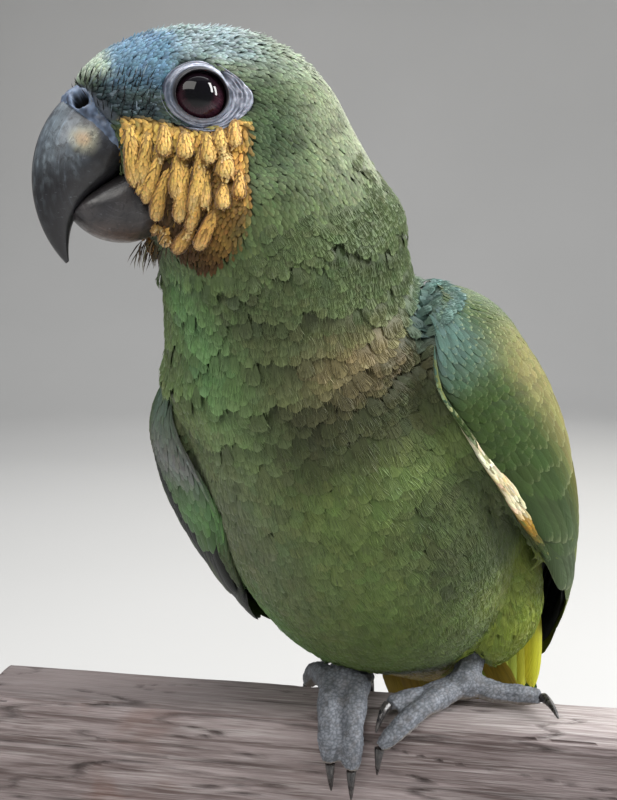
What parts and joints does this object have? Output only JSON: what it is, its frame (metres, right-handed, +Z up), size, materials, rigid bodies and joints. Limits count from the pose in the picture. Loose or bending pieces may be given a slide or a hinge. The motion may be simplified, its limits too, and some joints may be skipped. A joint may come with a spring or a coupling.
{
  "type": "amazon parrot on a perch",
  "caption": "Life-size museum model of an orange-winged amazon parrot, head turned to its right, gripping a cut length of wooden fence rail held on a plain display stand.",
  "frame": {"origin": "centre of the underside of the display stand's base", "axes": "+Z up; +X along the perch rail, towards the bird's left foot; the bird's breast faces -Y and a little to -X, and its bill points to -X and -Y"},
  "size_m": [0.196, 0.1483, 0.2914],
  "materials": {
    "plumage": "overlapping small green contour feathers",
    "wing_coverts": "green wing coverts with pale edges",
    "flight_feathers": "long blue-black flight feathers with green outer vanes",
    "horn": "slate-black bill horn, satin, faintly streaked",
    "cere": "bare dark grey skin",
    "eye": "wet dark reddish-brown eye",
    "foot_skin": "granular blue-grey scales",
    "claw": "black horn, satin",
    "rail_wood": "weathered grey-brown, unpainted",
    "stand_wood": "dark, oiled",
    "steel": "brushed"
  },
  "bodies": {
    "root": {"bill_lower": "horn", "bill_upper": "horn", "cere": "cere", "claw_left_1": "claw", "claw_left_2": "claw", "claw_left_3": "claw", "claw_left_4": "claw", "claw_right_1": "claw", "claw_right_2": "claw", "claw_right_3": "claw", "claw_right_4": "claw", "eye_left": "eye", "eye_right": "eye", "flight_left": "flight_feathers", "flight_right": "flight_feathers", "foot_left": "foot_skin", "foot_right": "foot_skin", "head": "plumage", "neck": "plumage", "perch_rail": "rail_wood", "stand_base": "stand_wood", "stand_rod_left": "steel", "stand_rod_right": "steel", "tail": "plumage", "thigh_left": "plumage", "thigh_right": "plumage", "trunk": "plumage", "wing_left": "wing_coverts", "wing_right": "wing_coverts"}
  },
  "joints": []
}
